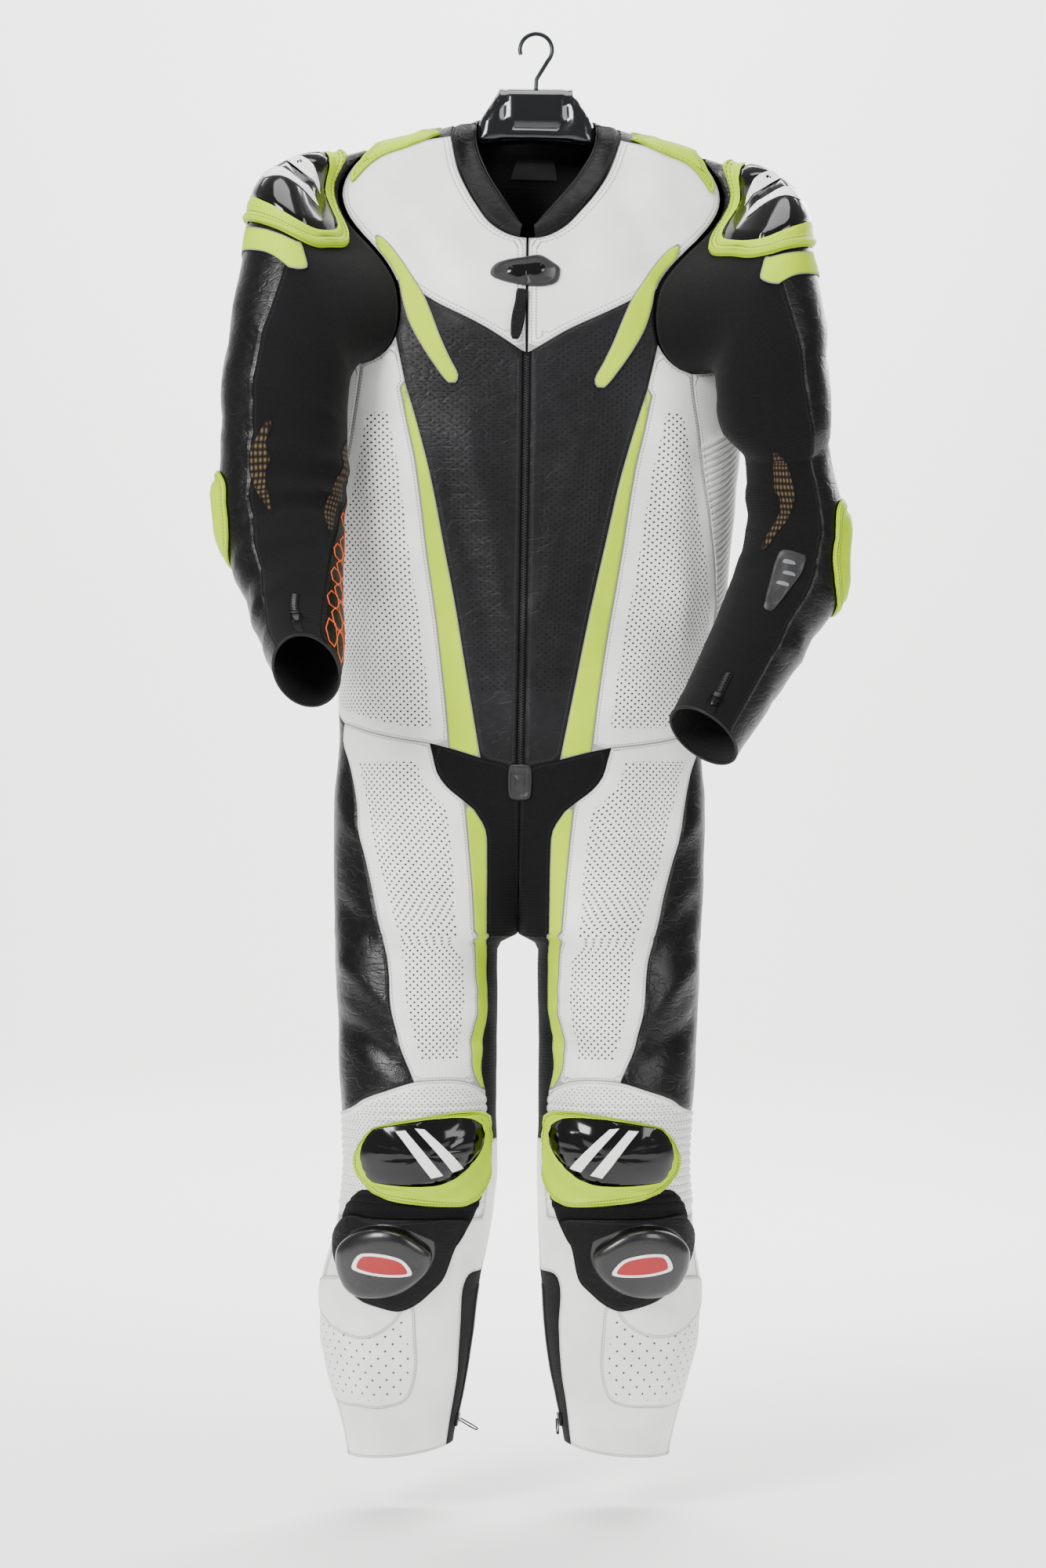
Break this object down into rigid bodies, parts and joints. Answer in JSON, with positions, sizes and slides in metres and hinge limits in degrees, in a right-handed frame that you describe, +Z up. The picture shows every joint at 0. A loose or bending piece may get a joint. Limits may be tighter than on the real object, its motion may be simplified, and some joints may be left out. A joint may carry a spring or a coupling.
{
  "type": "motorcycle race suit with hanger",
  "caption": "One-piece leather race suit hanging hollow on a broad moulded hanger, with knee sliders, shoulder and elbow armour, ribbed stretch panels and zip pulls.",
  "frame": {"origin": "inner crown of the hanger's hook, where the rail lies", "axes": "+Z up, the suit faces -Y, +X is the wearer's left"},
  "size_m": [0.7155, 0.3899, 1.6385],
  "materials": {
    "white_leather": "satin",
    "black_leather": "satin",
    "lime_leather": "satin",
    "lime_plastic": "satin",
    "slider_plastic": "gloss",
    "hanger_plastic": "gloss",
    "rubber": "matte",
    "stretch_cloth": "matte",
    "zip_cloth": "matte",
    "dark_metal": "satin"
  },
  "bodies": {
    "suit": {"back": "black_leather", "band_l": "lime_leather", "band_r": "lime_leather", "calf_l": "white_leather", "calf_r": "white_leather", "chest_l": "black_leather", "chest_r": "black_leather", "collar_back": "stretch_cloth", "collar_l": "black_leather", "collar_r": "black_leather", "cuff_zip_l": "zip_cloth", "cuff_zip_r": "zip_cloth", "elbow_cup_l": "lime_plastic", "elbow_cup_r": "lime_plastic", "flank_l": "white_leather", "flank_r": "white_leather", "flash_l": "lime_leather", "flash_r": "lime_leather", "fly_tab": "rubber", "hanger": "hanger_plastic", "inner_leg_l": "stretch_cloth", "inner_leg_r": "stretch_cloth", "knee_armour_l": "lime_plastic", "knee_armour_r": "lime_plastic", "knee_ribs_l": "white_leather", "knee_ribs_r": "white_leather", "leg_zip_l": "zip_cloth", "leg_zip_r": "zip_cloth", "main_zip": "zip_cloth", "neck_tab": "rubber", "outer_leg_l": "black_leather", "outer_leg_r": "black_leather", "seat": "stretch_cloth", "shin_l": "white_leather", "shin_r": "white_leather", "shoulder_armour_l": "lime_plastic", "shoulder_armour_r": "lime_plastic", "shoulder_tail_l": "lime_leather", "shoulder_tail_r": "lime_leather", "side_ribs_l": "white_leather", "side_ribs_r": "white_leather", "sleeve_leather_l": "black_leather", "sleeve_leather_r": "black_leather", "sleeve_stretch_l": "stretch_cloth", "sleeve_stretch_r": "stretch_cloth", "slider_l": "slider_plastic", "slider_r": "slider_plastic", "stripe_l": "lime_leather", "stripe_r": "lime_leather", "thigh_l": "white_leather", "thigh_r": "white_leather", "thigh_stripe_l": "lime_leather", "thigh_stripe_r": "lime_leather", "yoke_l": "white_leather", "yoke_r": "white_leather"},
    "main_pull": {"main_pull": "rubber"},
    "leg_pull_l": {"leg_pull_l": "dark_metal"},
    "leg_pull_r": {"leg_pull_r": "dark_metal"},
    "cuff_pull_l": {"cuff_pull_l": "dark_metal"},
    "cuff_pull_r": {"cuff_pull_r": "dark_metal"}
  },
  "joints": [
    {"name": "main_pull_hinge", "type": "hinge", "parent": "suit", "child": "main_pull", "pos_m": [-0.01556, -0.10767, -0.30986], "axis": [-0.9887, 0.016, 0.149], "range_deg": [-3, 80]},
    {"name": "leg_pull_l_hinge", "type": "hinge", "parent": "suit", "child": "leg_pull_l", "pos_m": [0.02386, -0.01501, -1.59311], "axis": [-0.2791, 0.956, 0.0902], "range_deg": [-4, 85]},
    {"name": "leg_pull_r_hinge", "type": "hinge", "parent": "suit", "child": "leg_pull_r", "pos_m": [-0.08764, -0.015, -1.59316], "axis": [-0.2794, -0.9562, -0.0878], "range_deg": [-68, 20]},
    {"name": "cuff_pull_l_hinge", "type": "hinge", "parent": "suit", "child": "cuff_pull_l", "pos_m": [0.19461, -0.20983, -0.76903], "axis": [-0.908, 0.2451, 0.3399], "range_deg": [-8, 70]},
    {"name": "cuff_pull_r_hinge", "type": "hinge", "parent": "suit", "child": "cuff_pull_r", "pos_m": [-0.25823, -0.2683, -0.68143], "axis": [-0.9734, -0.2065, -0.0997], "range_deg": [-14, 60]}
  ]
}
